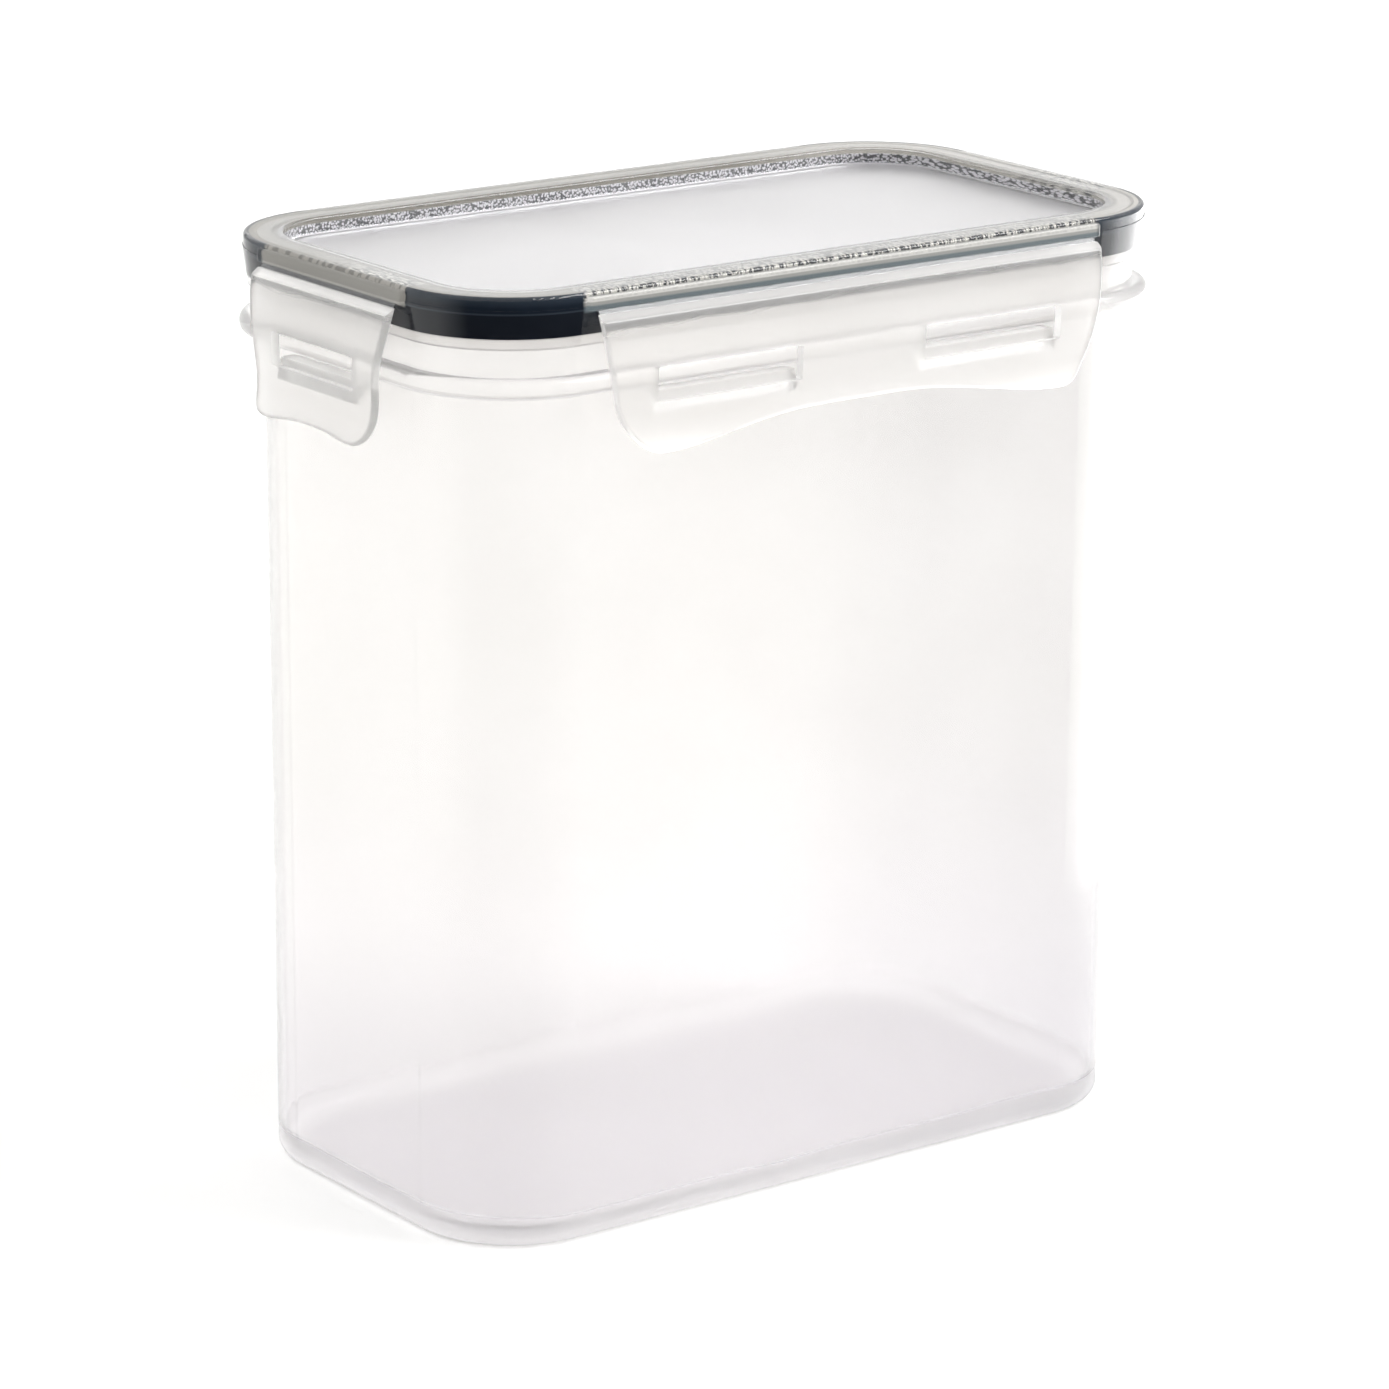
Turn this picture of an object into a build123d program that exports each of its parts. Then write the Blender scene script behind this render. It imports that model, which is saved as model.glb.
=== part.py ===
"""Tall rectangular food canister with a clear snap lid.

The frame stands on the base: origin at the centre of the base, X along the long sides, +Z up.
The container is one thin-walled moulding. The lid carries a silicone gasket in a channel, and four
latches that hang from it on living hinges and hook under the container's flange.
"""

import os
from math import atan, degrees

from build123d import *

# Container, mm
BODY_LENGTH = 197.0  # outside, just under the flange
BODY_DEPTH = 105.8
BODY_CORNER = 27.0
DRAFT = 0.95  # how far each side leans in from the flange to the base
WALL = 1.5
FLOOR_TOP = 3.4
FOOT_RECESS = 1.2  # height of the hollow under the floor
FOOT_WIDTH = 8.0
BASE_ROUND = 3.2
FLOOR_ROUND = 4.5
FLANGE_REACH = 0.95  # how far the flange stands out past the lid's wall
FLANGE_BOTTOM = 199.0
FLANGE_TOP = 203.7
FLANGE_ROUND = 2.2
SHELL_TOP = 202.7  # the drafted shell ends inside the flange
CAVITY_TOP = 202.2  # above it the inside narrows to the neck
NECK_INSET = 2.65  # from the lid's wall to the container's neck
RIM_TOP = 214.0
RIM_ROUND = 0.35
OVERLAP = 0.1  # how far joined cuts run into each other

# Lid, mm
LID_LENGTH = 204.7
LID_DEPTH = 113.5
LID_CORNER = 28.3
LID_TOP = 222.0
PLATE = 1.5
RIM_WIDTH = 9.55  # flat ring round the recessed panel
PANEL_DROP = 4.0
SKIRT_BOTTOM = 212.4
SKIRT_DRAFT = 0.8  # how far the skirt leans in from its ledge to its lower edge
STEP_HEIGHT = 219.0
SKIRT_STEP = 0.2  # width of the ledge, where the rim band stands back from the skirt
LIP_BOTTOM = 210.0
LIP_INSET = 1.1
LIP_WALL = 1.15
SHELF = 212.8  # top of the lip, which carries the gasket
PLUG_BOTTOM = 212.0
CHANNEL_INSET = 8.25  # from the lid's wall to the inner wall of the gasket's channel
LID_EDGE_ROUND = 0.8
PANEL_ROUND = 1.0
LIP_ROUND = 0.4
GASKET_GAP = 0.06  # film of air between the gasket and the lid
GROOVE_SIDE = 0.4  # room on each side of the neck in the gasket's groove

# Hinge rails, living hinges and latches, mm. Heights are Z and "out" is counted from the lid's wall.
RAIL_BOTTOM = 218.0
RAIL_TOP = 221.2
RAIL_OUT = 1.0
RAIL_END_ROUND = 0.9
RAIL_TOP_ROUND = 0.85
RAIL_BOTTOM_ROUND = 0.3
RAIL_OVERHANG = 1.7  # how far a rail runs past its latch at each end
LATCH_TOP = 217.1
WEB_THICKNESS = 0.38
WEB_RAIL = 0.7  # outer face of the web where it meets the rail, behind the rail's lower round
WEB_FOOT = 1.55  # outer face of the web where it meets the latch
WEB_GAP = 0.05
WEB_END = 0.6  # the web stops this far short of the latch's ends
HOOK_TOP = FLANGE_BOTTOM - 0.3
EDGE_ROUND = 0.7
WINDOW_ROUND = 0.6
HOOK_SIDE = 0.5  # room between a hook and each side of its window
PLATE_REACH = 12.0  # past the latches' outermost faces

# The top of a latch's section as (out, height): its inner edge, and where its bevel starts
HINGE_LINE = (1.1, LATCH_TOP)
LATCH_SHOULDER = (1.6, LATCH_TOP)

# A hook's section as (out, height)
HOOK = [(3.1, 193.6), (-0.9, 197.2), (-0.9, HOOK_TOP), (3.0, HOOK_TOP), (3.6, 196.3), (3.6, 193.6)]

UP = Vector(0, 0, 1)
SIDES = {
    "front": (Vector(0, -1, 0), LID_DEPTH / 2),
    "back": (Vector(0, 1, 0), LID_DEPTH / 2),
    "left": (Vector(-1, 0, 0), LID_LENGTH / 2),
    "right": (Vector(1, 0, 0), LID_LENGTH / 2),
}

# A latch's outer and inner faces, top to bottom, as (out, height)
OUTER_FACE = [
    (3.75, 215.6), (4.85, 210.0), (5.45, 202.0), (5.1, 196.0), (5.55, 190.0), (7.3, 186.2), (8.7, 184.2),
]
INNER_FACE = [
    (1.5, 215.2), (2.65, 210.0), (3.25, 202.0), (2.9, 196.0), (3.35, 190.2), (5.1, 186.4), (6.9, 184.2),
]

# Half of each latch's outline, top to bottom and then in along its bottom edge, as (across, height)
LONG_SIDE = [(71.2, 217.5), (69.0, 201.0), (67.0, 194.0), (63.1, 188.4), (56.5, 185.4)]
LONG_BOTTOM = [(56.5, 185.4), (42.0, 186.7), (24.0, 189.3), (0.0, 190.1)]
SHORT_SIDE = [(27.6, 217.5), (26.5, 210.0), (24.8, 203.0), (23.6, 193.0), (22.0, 187.4), (17.0, 185.2)]
SHORT_BOTTOM = [(17.0, 185.2), (9.0, 185.9), (0.0, 186.3)]

# Windows as (centre, width, lowest height, highest height)
LONG_WINDOWS = [(-37.5, 40.0, 196.5, 204.5), (37.5, 40.0, 196.5, 204.5)]
SHORT_WINDOWS = [(0.0, 32.8, 197.0, 204.8)]


def lid_outline(inset):
    """Length, depth and corner radius of the outline at an even distance inside the lid's wall."""
    return LID_LENGTH - 2 * inset, LID_DEPTH - 2 * inset, LID_CORNER - inset


def ring(bottom, top, outer_inset, inner_inset, mode=Mode.ADD):
    """A band between two outlines that follow the lid's wall, in the current part."""
    with BuildSketch(Plane.XY.offset(bottom)) as band:
        RectangleRounded(*lid_outline(outer_inset))
        RectangleRounded(*lid_outline(inner_inset), mode=Mode.SUBTRACT)
    extrude(band.sketch, amount=top - bottom, mode=mode)


def slab(bottom, top, inset, mode=Mode.ADD):
    """A plate whose edge follows the lid's wall, in the current part."""
    with BuildSketch(Plane.XY.offset(bottom)) as plate:
        RectangleRounded(*lid_outline(inset))
    extrude(plate.sketch, amount=top - bottom, mode=mode)


def section_plane(side):
    """The upright plane across a side's middle: local x points out of the lid's wall, local y is up."""
    out, reach = SIDES[side]
    return Plane(origin=out * reach, x_dir=out, z_dir=out.cross(UP))


def face_plane(side):
    """The plane of a side's lid wall: local x runs along the wall, local y is up."""
    out, reach = SIDES[side]
    return Plane(origin=out * reach, x_dir=UP.cross(out), z_dir=out)


def half_width(side):
    """Half of the width of a side's latch at its top."""
    return LONG_SIDE[0][0] if side in ("front", "back") else SHORT_SIDE[0][0]


def make_latch(side):
    """A latch plate with a flared finger lip, its windows, and the hooks behind them."""
    long = side in ("front", "back")
    edge = LONG_SIDE if long else SHORT_SIDE
    bottom = LONG_BOTTOM if long else SHORT_BOTTOM
    windows = LONG_WINDOWS if long else SHORT_WINDOWS
    with BuildPart() as latch:
        with BuildSketch(section_plane(side)):
            with BuildLine():
                Polyline(HINGE_LINE, LATCH_SHOULDER, OUTER_FACE[0])
                Spline(*OUTER_FACE)
                Line(OUTER_FACE[-1], INNER_FACE[-1])
                Spline(*reversed(INNER_FACE))
                Line(INNER_FACE[0], HINGE_LINE)
            make_face()
        extrude(amount=half_width(side), both=True)
        with BuildSketch(face_plane(side)):
            with BuildLine():
                Spline(*edge, tangents=[(-0.1, -1), (-1, 0)])
                Spline(*bottom, tangents=[(-1, 0), (-1, 0)])
                Polyline(bottom[-1], (0, LATCH_TOP + 1), (edge[0][0], LATCH_TOP + 1), edge[0])
            make_face()
            mirror(about=Plane.YZ)
        extrude(amount=PLATE_REACH, mode=Mode.INTERSECT)
        fillet(latch.edges().filter_by(lambda e: e.center().Z < LATCH_TOP - 1 and e.length > 15), EDGE_ROUND)
        for centre, width, low, high in windows:
            with BuildSketch(face_plane(side)):
                with Locations((centre, (low + high) / 2)):
                    RectangleRounded(width, high - low, WINDOW_ROUND)
            extrude(amount=PLATE_REACH, mode=Mode.SUBTRACT)
            with BuildSketch(section_plane(side).offset(-centre)):
                with BuildLine():
                    Polyline(*HOOK, close=True)
                make_face()
            extrude(amount=width / 2 - HOOK_SIDE, both=True)
    return latch.part


def make_web(side):
    """The thin flexible strip that joins a latch to its rail."""
    with BuildPart() as web:
        with BuildSketch(section_plane(side)):
            Polygon(
                (WEB_RAIL - WEB_THICKNESS, RAIL_BOTTOM), (WEB_RAIL, RAIL_BOTTOM),
                (WEB_FOOT, LATCH_TOP + WEB_GAP), (WEB_FOOT - WEB_THICKNESS, LATCH_TOP + WEB_GAP), align=None,
            )
        extrude(amount=half_width(side) - WEB_END, both=True)
    return web.part


def make_rail(side):
    """The round-ended bar on the lid's wall that a latch hangs from."""
    outward = Axis((0, 0, 0), SIDES[side][0])
    with BuildPart() as rail:
        with BuildSketch(face_plane(side).offset(-PLATE / 2)):
            with Locations((0, (RAIL_BOTTOM + RAIL_TOP) / 2)):
                Rectangle(2 * (half_width(side) + RAIL_OVERHANG), RAIL_TOP - RAIL_BOTTOM)
        extrude(amount=RAIL_OUT + PLATE / 2)
        fillet(rail.faces().sort_by(outward)[-1].edges().filter_by(Axis.Z), RAIL_END_ROUND)
        fillet(rail.faces().sort_by(outward)[-1].edges().sort_by(Axis.Z)[-1], RAIL_TOP_ROUND)
        fillet(rail.faces().sort_by(outward)[-1].edges().sort_by(Axis.Z)[0], RAIL_BOTTOM_ROUND)
    return rail.part


os.makedirs("parts", exist_ok=True)

# The container: a drafted shell with a foot ring, a bull-nosed flange, and a neck that meets the gasket.
draft_angle = degrees(atan(DRAFT / FLANGE_BOTTOM))
with BuildPart() as flange:
    slab(FLANGE_BOTTOM, FLANGE_TOP, -FLANGE_REACH)
    layers = flange.edges().group_by(Axis.Z)
    fillet(layers[0] + layers[-1], FLANGE_ROUND)
with BuildPart() as container:
    with BuildSketch():
        RectangleRounded(BODY_LENGTH - 2 * DRAFT, BODY_DEPTH - 2 * DRAFT, BODY_CORNER - DRAFT)
    extrude(amount=SHELL_TOP, taper=-draft_angle)
    fillet(container.edges().group_by(Axis.Z)[0], BASE_ROUND)
    add(flange.part)
    slab(FLANGE_TOP, RIM_TOP, NECK_INSET)
    with BuildSketch(Plane.XY.offset(FLOOR_TOP)):
        inset = DRAFT + WALL
        RectangleRounded(BODY_LENGTH - 2 * inset, BODY_DEPTH - 2 * inset, BODY_CORNER - inset)
    extrude(amount=CAVITY_TOP - FLOOR_TOP, taper=-draft_angle, mode=Mode.SUBTRACT)
    fillet(container.edges().filter_by(lambda e: abs(e.center().Z - FLOOR_TOP) < 0.01), FLOOR_ROUND)
    slab(CAVITY_TOP - OVERLAP, RIM_TOP, NECK_INSET + WALL, mode=Mode.SUBTRACT)
    fillet(container.edges().group_by(Axis.Z)[-1], RIM_ROUND)
    with BuildSketch():
        inset = DRAFT + FOOT_WIDTH
        RectangleRounded(BODY_LENGTH - 2 * inset, BODY_DEPTH - 2 * inset, BODY_CORNER - inset)
    extrude(amount=FOOT_RECESS, mode=Mode.SUBTRACT)
container.part.label = "container"
export_step(container.part, "parts/container.step")

# The lid: a flat rim over the gasket channel, a recessed panel, a skirt with a lip, and four hinge rails.
rails = [make_rail(side) for side in SIDES]
panel_top = LID_TOP - PANEL_DROP
skirt_angle = degrees(atan(SKIRT_DRAFT / (STEP_HEIGHT - SKIRT_BOTTOM)))
with BuildPart() as lid:
    with BuildSketch(Plane.XY.offset(SKIRT_BOTTOM)):
        RectangleRounded(*lid_outline(SKIRT_DRAFT))
    extrude(amount=STEP_HEIGHT - SKIRT_BOTTOM, taper=-skirt_angle)
    slab(STEP_HEIGHT, LID_TOP, SKIRT_STEP)
    slab(panel_top, LID_TOP, RIM_WIDTH, mode=Mode.SUBTRACT)
    slab(SKIRT_BOTTOM, panel_top - PLATE, RIM_WIDTH, mode=Mode.SUBTRACT)
    ring(SKIRT_BOTTOM, LID_TOP - PLATE, PLATE, CHANNEL_INSET, mode=Mode.SUBTRACT)
    ring(PLUG_BOTTOM, SKIRT_BOTTOM, CHANNEL_INSET, RIM_WIDTH)
    ring(LIP_BOTTOM, SHELF, LIP_INSET, LIP_INSET + LIP_WALL)
    fillet(lid.edges().filter_by(lambda e: abs(e.center().Z - LID_TOP) < 0.01), LID_EDGE_ROUND)
    fillet(lid.edges().filter_by(lambda e: abs(e.center().Z - panel_top) < 0.01), PANEL_ROUND)
    fillet(lid.edges().group_by(Axis.Z)[0], LIP_ROUND)
    add(rails)
lid.part.label = "lid"
export_step(lid.part, "parts/lid.step")

# The gasket fills the lid's channel, and the container's rim presses into the groove under it.
with BuildPart() as gasket:
    ring(SHELF, LID_TOP - PLATE - GASKET_GAP, PLATE + GASKET_GAP, CHANNEL_INSET - GASKET_GAP)
    groove_outer = NECK_INSET - GROOVE_SIDE
    groove_inner = NECK_INSET + WALL + GROOVE_SIDE
    ring(SHELF, RIM_TOP + GASKET_GAP, groove_outer, groove_inner, mode=Mode.SUBTRACT)
gasket.part.label = "gasket"
export_step(gasket.part, "parts/gasket.step")

for side in SIDES:
    latch = make_latch(side)
    latch.label = f"{side}_latch"
    export_step(latch, f"parts/{side}_latch.step")
    web = make_web(side)
    web.label = f"{side}_hinge_web"
    export_step(web, f"parts/{side}_hinge_web.step")
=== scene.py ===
from math import cos, radians, sin

import bmesh
import bpy
from mathutils import Matrix, Vector


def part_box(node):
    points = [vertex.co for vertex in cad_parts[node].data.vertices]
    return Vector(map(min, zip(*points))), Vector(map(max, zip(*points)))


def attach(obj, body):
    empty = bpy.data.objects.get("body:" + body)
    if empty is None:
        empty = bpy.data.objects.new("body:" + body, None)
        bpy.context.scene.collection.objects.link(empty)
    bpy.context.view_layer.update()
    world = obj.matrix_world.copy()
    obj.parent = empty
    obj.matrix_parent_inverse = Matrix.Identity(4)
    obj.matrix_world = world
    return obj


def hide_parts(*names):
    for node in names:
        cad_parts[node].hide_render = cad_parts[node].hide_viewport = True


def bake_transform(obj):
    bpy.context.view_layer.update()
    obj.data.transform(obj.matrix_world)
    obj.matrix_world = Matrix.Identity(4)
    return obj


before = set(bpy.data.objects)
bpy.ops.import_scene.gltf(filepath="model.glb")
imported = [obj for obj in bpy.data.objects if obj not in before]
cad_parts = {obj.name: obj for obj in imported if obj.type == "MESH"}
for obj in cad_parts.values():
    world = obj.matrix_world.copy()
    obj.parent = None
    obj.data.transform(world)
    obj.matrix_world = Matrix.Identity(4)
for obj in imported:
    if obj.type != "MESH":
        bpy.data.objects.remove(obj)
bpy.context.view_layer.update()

MM = 0.001
SIDES = ("front", "back", "left", "right")
OUT = {
    "front": Vector((0, -1, 0)),
    "back": Vector((0, 1, 0)),
    "left": Vector((-1, 0, 0)),
    "right": Vector((1, 0, 0)),
}
UP = Vector((0, 0, 1))

# The lid's wall, without its hinge rails
RAIL_OUT = 1.0 * MM
LID_CORNER = 28.3 * MM
LID_HALF = Vector([v - RAIL_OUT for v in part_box("lid")[1][:2]])
LID_CORE = (LID_HALF.x - LID_CORNER, LID_HALF.y - LID_CORNER, 0.0)
CORNER_STEPS = 24

# Living hinges
WEB_HALF_THICKNESS, WEB_OVERLAP, WEB_BEND = 0.19 * MM, 0.2 * MM, 0.45 * MM

# Camera
AZIMUTH, ELEVATION, ROLL = radians(-36.65), radians(15.83), radians(0.42)
CAMERA_DISTANCE = 1.3535
CAMERA_TARGET = Vector((-0.0046, 0.0, 0.1106))
CAMERA_LENS = 148.1
CAMERA_SHIFT = (0.0096, -0.0111)

# Light: the room is brighter away from the camera and at its left
AWAY = (-sin(AZIMUTH), cos(AZIMUTH), 0.6)
LEFT = (-cos(AZIMUTH), -sin(AZIMUTH), 0.3)
ROOM_EVEN, ROOM_BACK, ROOM_LEFT = 0.5, 0.45, 0.36
KEY_PLACE, KEY_TARGET, KEY_SIZE = (1.65, -1.23, 2.45), (0, 0, 0.1), (1.6, 1.6)
KEY_POWER, CARD_GLOW = 66.0, 4.0
CARD_REACH = 1.6
LIGHT_BOUNCES, CLEAR_BOUNCES = 28, 40
PAPER = (0.9, 0.9, 0.89)

# Moulded plastic
HAZE_SCALE, FLOW_SCALE, FLOW_DEPTH = 22.0, 45.0, 0.8 * MM
LAMP_SHARE = (0.7, 0.7, 0.7)
FOOT_FADE = (0.02, 0.10)
LATCH_TRANSMISSION = 0.84

# The lid's zones, as distances inside its wall
PANEL_START = (0.0080, 0.0085)
FROST_START = (0.0062, 0.0072)
RAIL_START = (-0.0001, -0.0004)
PANEL_FROST = (0.0097, 0.0103, 0.17, 0.42)

# The gasket's zones: the rails' ends, and the bands of its outer wall by height
LONG_RAIL_END, SHORT_RAIL_END = (0.0735, 0.0725), (0.0290, 0.0280)
RAIL_BOTTOM = (0.2172, 0.2180)
INNER_FACE = (0.0074, 0.0078)
SPECK_SCALE, SPECK_STRETCH, SPECK_EDGE = 1650.0, (1.0, 0.32, 1.0), (0.60, 0.41)


# ---------------------------------------------------------------- materials

class Nodes:
    """A material's node tree, with short calls for the nodes that the materials here use."""

    def __init__(self, name):
        self.material = bpy.data.materials.new(name)
        self.material.use_nodes = True
        self.tree = self.material.node_tree
        self.shader = self.tree.nodes["Principled BSDF"]
        self.coordinates = self.tree.nodes.new("ShaderNodeTexCoord").outputs["Object"]

    def link(self, source, target):
        self.tree.links.new(source, target)
        return self

    def noise(self, scale, detail=4.0, roughness=0.5, vector=None):
        node = self.tree.nodes.new("ShaderNodeTexNoise")
        node.inputs["Scale"].default_value = scale
        node.inputs["Detail"].default_value = detail
        node.inputs["Roughness"].default_value = roughness
        self.link(vector or self.coordinates, node.inputs["Vector"])
        return node.outputs["Fac"]

    def spread(self, source, low, high, to_low=0.0, to_high=1.0):
        node = self.tree.nodes.new("ShaderNodeMapRange")
        for name, value in zip(("From Min", "From Max", "To Min", "To Max"), (low, high, to_low, to_high)):
            node.inputs[name].default_value = value
        self.link(source, node.inputs["Value"])
        return node.outputs["Result"]

    def math(self, operation, first, second=None):
        node = self.tree.nodes.new("ShaderNodeMath")
        node.operation = operation
        for socket, value in zip(node.inputs, (first, second)):
            if isinstance(value, bpy.types.NodeSocket):
                self.link(value, socket)
            elif value is not None:
                socket.default_value = value
        return node.outputs["Value"]

    def mix(self, factor, first, second):
        node = self.tree.nodes.new("ShaderNodeMix")
        node.data_type = "RGBA"
        self.link(factor, node.inputs["Factor"])
        for name, value in (("A", first), ("B", second)):
            socket = [s for s in node.inputs if s.name == name and s.type == "RGBA"][0]
            if isinstance(value, bpy.types.NodeSocket):
                self.link(value, socket)
            else:
                socket.default_value = (*value, 1)
        return [s for s in node.outputs if s.type == "RGBA"][0]

    def vector_math(self, operation, first, second=None):
        node = self.tree.nodes.new("ShaderNodeVectorMath")
        node.operation = operation
        for socket, value in zip(node.inputs, (first, second)):
            if isinstance(value, bpy.types.NodeSocket):
                self.link(value, socket)
            elif value is not None:
                socket.default_value = value
        return node.outputs["Value" if operation in ("LENGTH", "DOT_PRODUCT") else "Vector"]

    def axes(self, vector):
        node = self.tree.nodes.new("ShaderNodeSeparateXYZ")
        self.link(vector, node.inputs["Vector"])
        return node.outputs["X"], node.outputs["Y"], node.outputs["Z"]

    def stack(self, height, colour, *bands):
        """Colours one above the other. Each band is (low, high, colour) and fades in between its heights."""
        for low, high, above in bands:
            colour = self.mix(self.spread(height, low, high), colour, above)
        return colour

    def normal(self):
        return self.axes(self.tree.nodes.new("ShaderNodeNewGeometry").outputs["Normal"])

    def inset(self):
        """Distance inside the outline of the lid's wall, in metres."""
        core = self.vector_math("SUBTRACT", self.vector_math("ABSOLUTE", self.coordinates), LID_CORE)
        x, y, _ = self.axes(core)
        past = self.vector_math("MULTIPLY", self.vector_math("MAXIMUM", core, (0, 0, 0)), (1, 1, 0))
        corner = self.vector_math("LENGTH", past)
        side = self.math("MINIMUM", self.math("MAXIMUM", x, y), 0.0)
        return self.math("SUBTRACT", LID_CORNER, self.math("ADD", corner, side))

    def cells(self, scale, stretch):
        """Distance from the middle of each small cell, 0 to about 1."""
        node = self.tree.nodes.new("ShaderNodeTexVoronoi")
        node.inputs["Scale"].default_value = scale
        self.link(self.vector_math("MULTIPLY", self.coordinates, stretch), node.inputs["Vector"])
        return node.outputs["Distance"]

    def let_lamps_through(self, colour):
        """Lets the light of lamps through the plastic, so that it isn't dark behind it."""
        path = self.tree.nodes.new("ShaderNodeLightPath")
        clear = self.tree.nodes.new("ShaderNodeBsdfTransparent")
        clear.inputs["Color"].default_value = (*colour, 1)
        mix = self.tree.nodes.new("ShaderNodeMixShader")
        self.link(path.outputs["Is Shadow Ray"], mix.inputs["Fac"])
        self.link(self.shader.outputs["BSDF"], mix.inputs[1])
        self.link(clear.outputs["BSDF"], mix.inputs[2])
        self.link(mix.outputs["Shader"], self.tree.nodes["Material Output"].inputs["Surface"])

    def bump(self, height, strength, distance):
        node = self.tree.nodes.new("ShaderNodeBump")
        node.inputs["Strength"].default_value = strength
        node.inputs["Distance"].default_value = distance
        self.link(height, node.inputs["Height"])
        self.link(node.outputs["Normal"], self.shader.inputs["Normal"])


def plastic(name, colours, roughness, transmission, ior, flow, frost=(), foot=None, painted_highlight_band=None):
    """Moulded polypropylene: uneven haze, faint flow marks, and a surface that is never quite flat.

    Each frost is (low, high, rougher at low, rougher at high), in heights. foot is the colour near the
    floor. The last argument is (low, high, transmission at low, transmission at high): a band made less
    clear so that it shows white, a painted highlight along an edge.
    """
    nodes = Nodes(name)
    haze = nodes.noise(HAZE_SCALE, 3.0)
    height = nodes.axes(nodes.coordinates)[2]
    colour = nodes.mix(nodes.spread(haze, 0.35, 0.65), *colours)
    if foot:
        colour = nodes.mix(nodes.spread(height, *FOOT_FADE), foot, colour)
    nodes.link(colour, nodes.shader.inputs["Base Color"])
    rough = nodes.spread(haze, 0.3, 0.7, *roughness)
    for change in frost:
        rough = nodes.math("MULTIPLY", rough, nodes.spread(height, *change))
    nodes.link(rough, nodes.shader.inputs["Roughness"])
    nodes.shader.inputs["IOR"].default_value = ior
    nodes.shader.inputs["Transmission Weight"].default_value = transmission
    if painted_highlight_band:
        nodes.link(nodes.spread(height, *painted_highlight_band), nodes.shader.inputs["Transmission Weight"])
    nodes.bump(nodes.noise(FLOW_SCALE, 2.0), flow, FLOW_DEPTH)
    nodes.let_lamps_through(LAMP_SHARE)
    return nodes.material


def make_lid_material():
    """Clear plastic, polished on the skirt and frosted on the rim, the panel and the rails."""
    nodes = Nodes("lid_plastic")
    haze = nodes.spread(nodes.noise(HAZE_SCALE, 3.0), 0.35, 0.65)
    inset = nodes.inset()
    rim = nodes.mix(haze, (0.90, 0.895, 0.885), (0.93, 0.925, 0.918))
    panel = nodes.mix(haze, (0.935, 0.93, 0.94), (0.96, 0.955, 0.965))
    colour = nodes.mix(nodes.spread(inset, *PANEL_START), rim, panel)
    nodes.link(colour, nodes.shader.inputs["Base Color"])
    frost = nodes.math("MAXIMUM", nodes.spread(inset, *FROST_START), nodes.spread(inset, *RAIL_START))
    frost = nodes.math("MULTIPLY", frost, nodes.spread(inset, *PANEL_FROST))
    rough = nodes.math("ADD", frost, nodes.spread(haze, 0, 1, 0.03, 0.06))
    nodes.link(rough, nodes.shader.inputs["Roughness"])
    nodes.shader.inputs["IOR"].default_value = 1.47
    nodes.shader.inputs["Transmission Weight"].default_value = 1.0
    nodes.bump(nodes.noise(FLOW_SCALE, 2.0), 0.02, FLOW_DEPTH)
    nodes.let_lamps_through(LAMP_SHARE)
    return nodes.material


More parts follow.
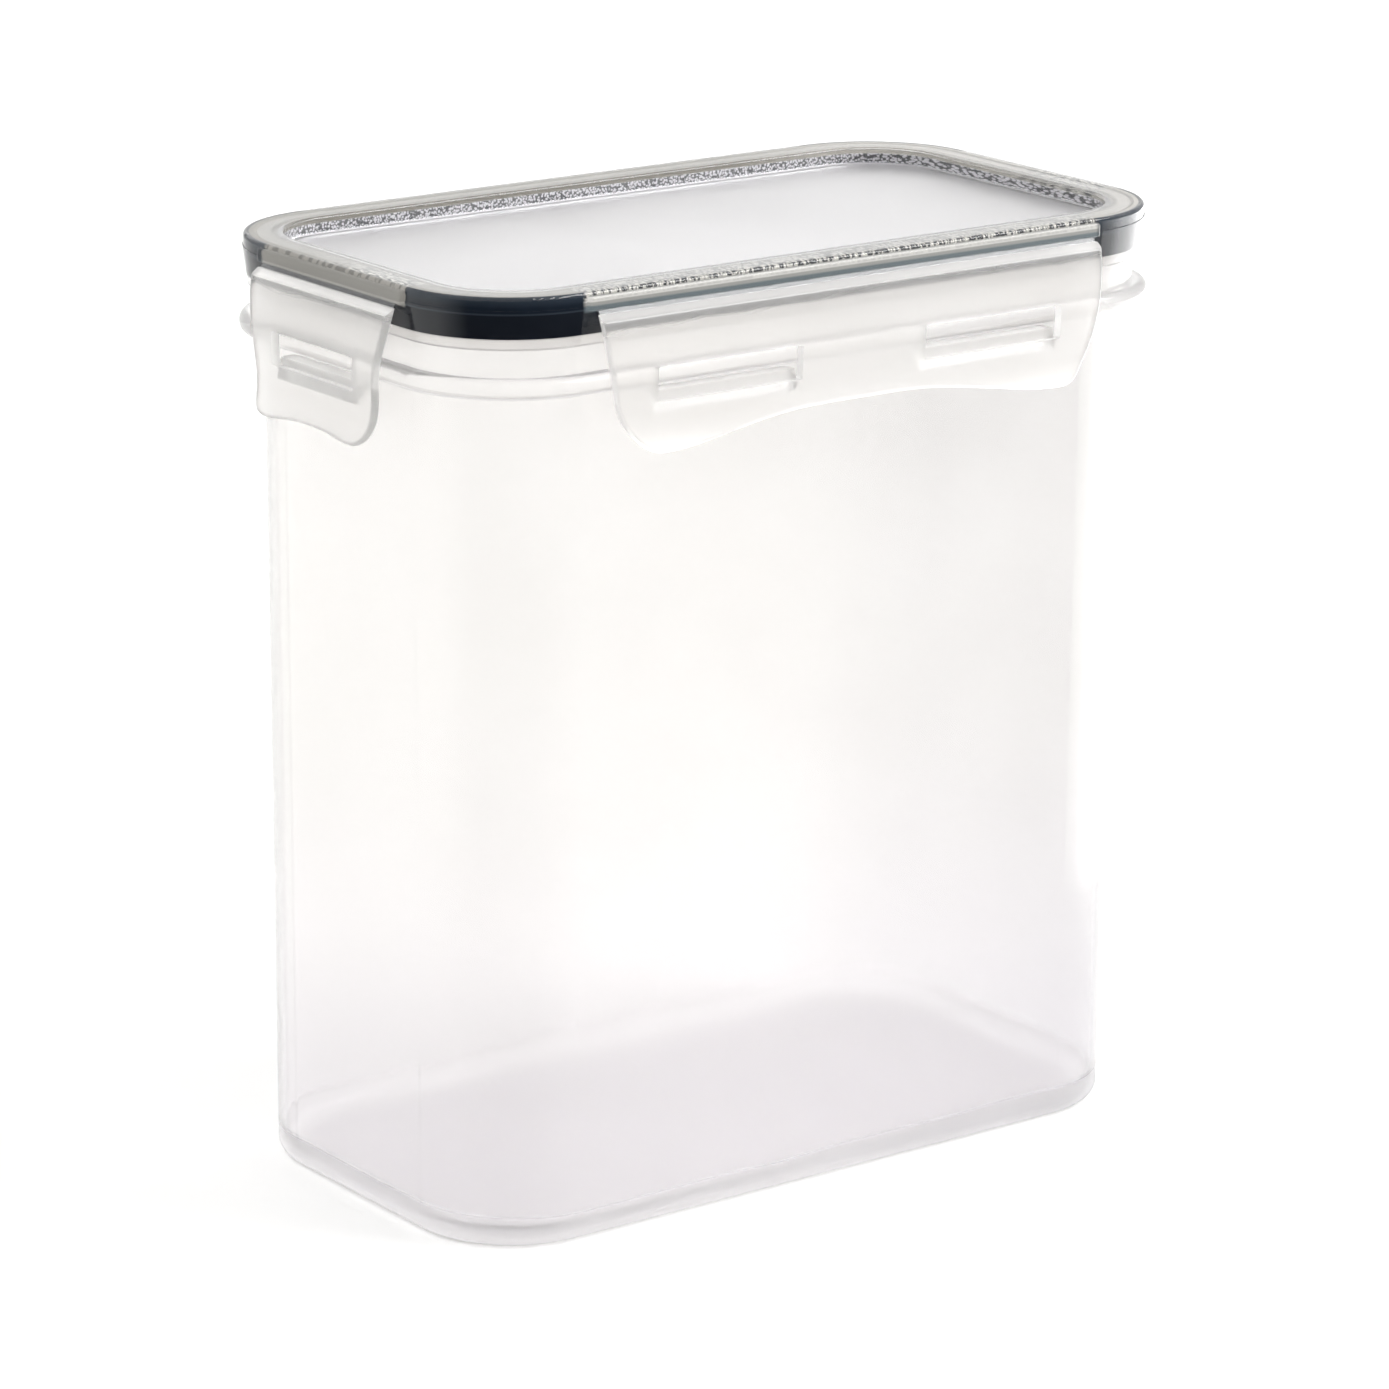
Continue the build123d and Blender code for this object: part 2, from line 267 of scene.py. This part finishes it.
def make_gasket_material():
    """Charcoal silicone with a beige top. Painted light and reflections on it: pale bands and a glint
    stipple behind the rails, a pale inner face, a paler right end on the top and a thin highlight line.
    """
    nodes = Nodes("gasket_silicone")
    x, y, z = nodes.axes(nodes.coordinates)
    inset = nodes.inset()
    specks = nodes.spread(nodes.cells(SPECK_SCALE, SPECK_STRETCH), *SPECK_EDGE)
    long_side = nodes.spread(nodes.math("ABSOLUTE", x), *LONG_RAIL_END)
    short_side = nodes.spread(nodes.math("ABSOLUTE", y), *SHORT_RAIL_END)
    rail_side = nodes.math("MAXIMUM", long_side, short_side)

    # Outer wall between the rails: navy, lighter towards the top, with a thin paler line painted on as the
    # highlight of a ledge
    lower = nodes.mix(nodes.noise(60.0, 2.0), (0.0093, 0.0121, 0.0187), (0.0113, 0.0147, 0.0227))
    upper = nodes.mix(nodes.spread(z, 0.2194, 0.2213), (0.0099, 0.0157, 0.0263), (0.032, 0.0445, 0.063))
    ledge_highlight = nodes.math("MULTIPLY", nodes.spread(z, 0.2178, 0.2180), nodes.spread(z, 0.2184, 0.2182))
    bare = nodes.mix(nodes.spread(z, 0.2179, 0.2183), lower, upper)
    bare = nodes.mix(ledge_highlight, bare, (0.035, 0.045, 0.060))

    # Outer wall behind the rails: painted light, with pale bands and a stipple of pale specks along the top,
    # standing for light refracted and reflected in the rails
    glint_stipple = nodes.mix(specks, (0.06, 0.062, 0.065), (0.68, 0.665, 0.62))
    long_painted_light = nodes.stack(
        z, (0.17, 0.21, 0.23), (0.2186, 0.2190, (0.40, 0.40, 0.38)),
        (0.2195, 0.2197, (0.75, 0.74, 0.71)), (0.2199, 0.2201, glint_stipple),
    )
    short_glint_stipple = nodes.mix(specks, (0.27, 0.26, 0.235), (0.5, 0.48, 0.44))
    short_painted_light = nodes.stack(
        z, (0.60, 0.59, 0.55), (0.2182, 0.2184, (0.38, 0.367, 0.335)), (0.2202, 0.2204, short_glint_stipple),
    )
    behind_rail = nodes.math("MULTIPLY", rail_side, nodes.spread(z, *RAIL_BOTTOM))
    wall = nodes.mix(behind_rail, bare, nodes.mix(short_side, long_painted_light, short_painted_light))

    # Inner face: painted pale lavender, standing for the light seen through the lid's panel, with dark
    # specks along its top
    inner_painted_light = nodes.mix(nodes.noise(90.0, 2.0), (0.80, 0.795, 0.83), (0.84, 0.835, 0.87))
    inner_specks = nodes.math("SUBTRACT", 1.0, specks)
    inner_specks = nodes.math("MULTIPLY", inner_specks, nodes.spread(z, 0.2172, 0.2182))
    inner = nodes.mix(inner_specks, inner_painted_light, (0.09, 0.093, 0.10))
    side = nodes.mix(nodes.spread(inset, *INNER_FACE), wall, inner)

    # Top: smooth beige, painted paler at the right end as painted light, with painted glints in a stipple
    # along the front half
    smooth = nodes.mix(nodes.noise(180.0, 2.0), (0.20, 0.187, 0.158), (0.25, 0.235, 0.20))
    smooth = nodes.mix(nodes.spread(x, 0.05, 0.095), smooth, (0.46, 0.44, 0.40))
    outer_band = nodes.math("MULTIPLY", nodes.spread(inset, 0.0078, 0.0068), nodes.spread(y, 0.012, -0.012))
    outer_band = nodes.math("MULTIPLY", outer_band, rail_side)
    crown = nodes.mix(outer_band, smooth, glint_stipple)
    top = nodes.spread(nodes.normal()[2], 0.4, 0.6)
    nodes.link(nodes.mix(top, side, crown), nodes.shader.inputs["Base Color"])
    nodes.link(nodes.spread(nodes.noise(300.0, 2.0), 0.3, 0.7, 0.42, 0.56), nodes.shader.inputs["Roughness"])
    nodes.shader.inputs["Specular IOR Level"].default_value = 0.05
    nodes.bump(nodes.noise(1200.0, 1.0), 0.1, 0.0001)
    return nodes.material


def make_materials():
    return {
        "container": plastic(
            "container_plastic", ((0.925, 0.913, 0.903), (0.945, 0.934, 0.926)), roughness=(0.16, 0.22),
            transmission=0.84, ior=1.38, flow=0.016, foot=(0.94, 0.924, 0.936),
            frost=((0.0045, 0.0095, 5.0, 1.0), (0.02, 0.09, 0.5, 1.0)),
        ),
        "lid": make_lid_material(),
        "latch": plastic(
            "latch_plastic", ((0.945, 0.935, 0.92), (0.965, 0.956, 0.943)), roughness=(0.28, 0.34),
            transmission=LATCH_TRANSMISSION, ior=1.42, flow=0.004,
            # The top edge is made less clear so that it shows white: a painted highlight.
            frost=((0.211, 0.216, 1.0, 0.82),), painted_highlight_band=(0.2150, 0.2162, LATCH_TRANSMISSION, 0.62),
        ),
        "web": plastic(
            "web_plastic", ((0.80, 0.81, 0.82), (0.84, 0.85, 0.86)), roughness=(0.08, 0.12),
            transmission=1.0, ior=1.42, flow=0.004,
        ),
        "gasket": make_gasket_material(),
    }


# ---------------------------------------------------------------- stage

def make_camera():
    back = Vector((sin(AZIMUTH) * cos(ELEVATION), -cos(AZIMUTH) * cos(ELEVATION), sin(ELEVATION)))
    camera = bpy.data.objects.new("camera", bpy.data.cameras.new("camera"))
    bpy.context.scene.collection.objects.link(camera)
    turn = (-back).to_track_quat("-Z", "Y").to_matrix().to_4x4() @ Matrix.Rotation(ROLL, 4, "Z")
    camera.matrix_world = Matrix.Translation(CAMERA_TARGET + back * CAMERA_DISTANCE) @ turn
    camera.data.lens = CAMERA_LENS
    camera.data.shift_x, camera.data.shift_y = CAMERA_SHIFT
    camera.data.clip_start = 0.05
    bpy.context.scene.camera = camera


def make_floor():
    mesh = bpy.data.meshes.new("floor")
    edge = 6.0
    corners = [(-edge, -edge, 0), (edge, -edge, 0), (edge, edge, 0), (-edge, edge, 0)]
    mesh.from_pydata(corners, [], [(0, 1, 2, 3)])
    floor = bpy.data.objects.new("floor", mesh)
    bpy.context.scene.collection.objects.link(floor)
    nodes = Nodes("floor_paper")
    grain = nodes.spread(nodes.noise(40.0, 3.0), 0.3, 0.7)
    colour = nodes.mix(grain, (0.895, 0.895, 0.885), (0.905, 0.905, 0.895))
    nodes.link(colour, nodes.shader.inputs["Base Color"])
    nodes.shader.inputs["Roughness"].default_value = 0.9
    mesh.materials.append(nodes.material)


def fan(name, start, end, reaches, height, material, unseen):
    """A flat ring on the floor round the object, between two bearings in degrees from the front.
    Only some kinds of ray see it."""
    bm = bmesh.new()
    rows = []
    steps = 60
    for step in range(steps + 1):
        angle = radians(start + (end - start) * step / steps)
        rows.append([bm.verts.new((sin(angle) * r, -cos(angle) * r, height)) for r in reaches])
    for first, second in zip(rows, rows[1:]):
        for i in range(len(reaches) - 1):
            bm.faces.new((first[i], first[i + 1], second[i + 1], second[i]))
    mesh = bpy.data.meshes.new(name)
    bm.to_mesh(mesh)
    bm.free()
    card = bpy.data.objects.new(name, mesh)
    bpy.context.scene.collection.objects.link(card)
    mesh.materials.append(material)
    for ray in unseen:
        setattr(card, f"visible_{ray}", False)


def make_cards():
    """Two cards that the camera doesn't see. Gloss sees one that is dark in front, a painted shade in the
    reflections, and glows at the right, a painted reflection of a light. The clear walls see the other,
    which carries a painted shade behind the object's right."""
    nodes = Nodes("card_painted_dark_glow")
    x, y, _ = nodes.axes(nodes.coordinates)
    angle = nodes.math("ARCTAN2", x, nodes.math("MULTIPLY", y, -1.0))
    reach = nodes.spread(nodes.vector_math("LENGTH", nodes.coordinates), 0.27, 0.38)
    front = nodes.math("MULTIPLY", nodes.spread(angle, radians(-100), radians(-72)),
                       nodes.spread(angle, radians(50), radians(26)))
    right = nodes.math("MULTIPLY", nodes.spread(angle, radians(44), radians(66)),
                       nodes.spread(angle, radians(130), radians(115)))
    dark = nodes.math("MULTIPLY", front, reach)
    nodes.link(nodes.mix(dark, PAPER, (0.004, 0.006, 0.010)), nodes.shader.inputs["Base Color"])
    nodes.shader.inputs["Roughness"].default_value = 1.0
    nodes.shader.inputs["Specular IOR Level"].default_value = 0.0
    nodes.shader.inputs["Emission Color"].default_value = (1, 1, 1, 1)
    nodes.link(nodes.math("MULTIPLY", right, CARD_GLOW), nodes.shader.inputs["Emission Strength"])
    gloss_only = ("camera", "diffuse", "transmission", "shadow", "volume_scatter")
    fan("card", -110, 134, (0.26, 0.5, CARD_REACH), 4 * MM, nodes.material, gloss_only)

    nodes = Nodes("veil_painted_shade")
    sideways = nodes.vector_math("DOT_PRODUCT", nodes.coordinates, (cos(AZIMUTH), sin(AZIMUTH), 0))
    shade = nodes.spread(sideways, 0.02, 0.11)
    nodes.link(nodes.mix(shade, (0.93, 0.93, 0.92), (0.62, 0.62, 0.63)), nodes.shader.inputs["Base Color"])
    nodes.shader.inputs["Roughness"].default_value = 1.0
    nodes.shader.inputs["Specular IOR Level"].default_value = 0.0
    clear_only = ("camera", "diffuse", "glossy", "shadow", "volume_scatter")
    fan("veil", -180, 180, (0.0, CARD_REACH), 0.5 * MM, nodes.material, clear_only)


def make_light(name, place, target, size, power):
    light = bpy.data.lights.new(name, "AREA")
    light.shape = "RECTANGLE"
    light.size, light.size_y = size
    light.energy = power
    lamp = bpy.data.objects.new(name, light)
    bpy.context.scene.collection.objects.link(lamp)
    lamp.location = place
    lamp.rotation_euler = (Vector(target) - Vector(place)).to_track_quat("-Z", "Y").to_euler()


def make_world():
    """A white room: darker on the side the picture is taken from, lighter behind and at the left."""
    world = bpy.data.worlds.new("studio")
    bpy.context.scene.world = world
    world.use_nodes = True
    tree = world.node_tree
    direction = tree.nodes.new("ShaderNodeTexCoord").outputs["Generated"]
    total = None
    slopes = (((0, 0, 1), -3, -2, ROOM_EVEN), (AWAY, -0.7, 0.5, ROOM_BACK), (LEFT, -0.2, 0.8, ROOM_LEFT))
    for axis, low, high, amount in slopes:
        along = tree.nodes.new("ShaderNodeVectorMath")
        along.operation = "DOT_PRODUCT"
        along.inputs[1].default_value = axis
        tree.links.new(direction, along.inputs[0])
        part = tree.nodes.new("ShaderNodeMapRange")
        for name, value in zip(("From Min", "From Max", "To Min", "To Max"), (low, high, 0.0, amount)):
            part.inputs[name].default_value = value
        tree.links.new(along.outputs["Value"], part.inputs["Value"])
        if total is None:
            total = part.outputs["Result"]
        else:
            plus = tree.nodes.new("ShaderNodeMath")
            tree.links.new(total, plus.inputs[0])
            tree.links.new(part.outputs["Result"], plus.inputs[1])
            total = plus.outputs["Value"]
    tree.links.new(total, tree.nodes["Background"].inputs["Strength"])
    tree.nodes["Background"].inputs["Color"].default_value = (1, 1, 1, 1)


# ---------------------------------------------------------------- pieces

def make_web(side, material):
    """The living hinge: a thin strip from the lid's rail to the latch, built straight in rows. The real one
    bends as the latch turns.
    """
    low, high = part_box(f"{side}_hinge_web")
    out = OUT[side]
    across = UP.cross(out)
    half = max(abs(low.dot(across)), abs(high.dot(across)))
    rows = 12
    thick = WEB_HALF_THICKNESS
    top, bottom = high.z + WEB_OVERLAP, low.z - WEB_OVERLAP
    inner = min(low.dot(out), high.dot(out)) + thick
    outer = max(low.dot(out), high.dot(out)) - thick
    bm = bmesh.new()
    grid = []
    for row in range(rows + 1):
        t = row / rows
        z = top + (bottom - top) * t
        u = inner + (outer - inner) * t
        grid.append([
            [bm.verts.new(out * (u + s * thick) + across * (c * half) + UP * z) for c in (-1, 1)]
            for s in (-1, 1)
        ])
    for row in range(rows):
        for s in (0, 1):
            a, b = grid[row][s], grid[row + 1][s]
            bm.faces.new((a[0], a[1], b[1], b[0]))
        for c in (0, 1):
            a, b = grid[row], grid[row + 1]
            bm.faces.new((a[0][c], a[1][c], b[1][c], b[0][c]))
    for row in (0, rows):
        g = grid[row]
        bm.faces.new((g[0][0], g[0][1], g[1][1], g[1][0]))
    bmesh.ops.recalc_face_normals(bm, faces=bm.faces)
    mesh = bpy.data.meshes.new(f"{side}_living_hinge")
    bm.to_mesh(mesh)
    bm.free()
    web = bpy.data.objects.new(f"{side}_living_hinge", mesh)
    bpy.context.scene.collection.objects.link(web)
    mesh.materials.append(material)
    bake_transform(web)
    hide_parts(f"{side}_hinge_web")


def outline(inset, height):
    """Points round the lid's wall, an even distance inside it."""
    radius = LID_CORNER - inset
    points = []
    for turn, (sx, sy) in enumerate(((1, 1), (-1, 1), (-1, -1), (1, -1))):
        for step in range(CORNER_STEPS + 1):
            angle = radians(90 * (turn + step / CORNER_STEPS))
            x = sx * LID_CORE[0] + radius * cos(angle)
            y = sy * LID_CORE[1] + radius * sin(angle)
            points.append(Vector((x, y, height)))
    return points


def make_gasket(material):
    """The gasket's ring, pressed against the wall of the lid's channel, with softened edges.
    Its profile is in millimetres inside the lid's wall and heights in metres."""
    bottom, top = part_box("gasket")[0].z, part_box("gasket")[1].z
    profile = [(inset * MM, height) for inset, height in (
        (1.46, bottom - 0.25 * MM), (1.46, top + 0.95 * MM), (1.56, top + 1.1 * MM), (2.6, top + 1.1 * MM),
        (3.4, top + 0.04 * MM), (7.9, top + 0.04 * MM), (8.1, top - 0.06 * MM), (8.18, top - 0.35 * MM),
        (8.18, bottom + 0.3 * MM), (7.95, bottom), (4.6, bottom), (4.6, top - 6.3 * MM),
        (2.2, top - 6.3 * MM), (2.2, bottom - 0.25 * MM),
    )]
    bm = bmesh.new()
    loops = [[bm.verts.new(p) for p in outline(inset, height)] for inset, height in profile]
    for first, second in zip(loops, loops[1:] + loops[:1]):
        for i in range(len(first)):
            j = (i + 1) % len(first)
            bm.faces.new((first[i], first[j], second[j], second[i]))
    bmesh.ops.recalc_face_normals(bm, faces=bm.faces)
    mesh = bpy.data.meshes.new("gasket_ring")
    bm.to_mesh(mesh)
    bm.free()
    mesh.materials.append(material)
    mesh.shade_smooth()
    mesh.set_sharp_from_angle(angle=radians(40))
    ring = bpy.data.objects.new("gasket_ring", mesh)
    bpy.context.scene.collection.objects.link(ring)
    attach(ring, "canister")
    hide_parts("gasket")


def dress(node, material):
    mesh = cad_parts[node].data
    mesh.materials.clear()
    mesh.materials.append(material)


bpy.context.scene.view_settings.view_transform = "Standard"
bpy.context.scene.cycles.max_bounces = LIGHT_BOUNCES
bpy.context.scene.cycles.transmission_bounces = LIGHT_BOUNCES
bpy.context.scene.cycles.transparent_max_bounces = CLEAR_BOUNCES
make_camera()
make_floor()
make_world()
make_cards()
make_light("key", KEY_PLACE, KEY_TARGET, KEY_SIZE, KEY_POWER)
materials = make_materials()
for node in ("container", "lid"):
    dress(node, materials[node])
make_gasket(materials["gasket"])
for side in SIDES:
    dress(f"{side}_latch", materials["latch"])
    make_web(side, materials["web"])
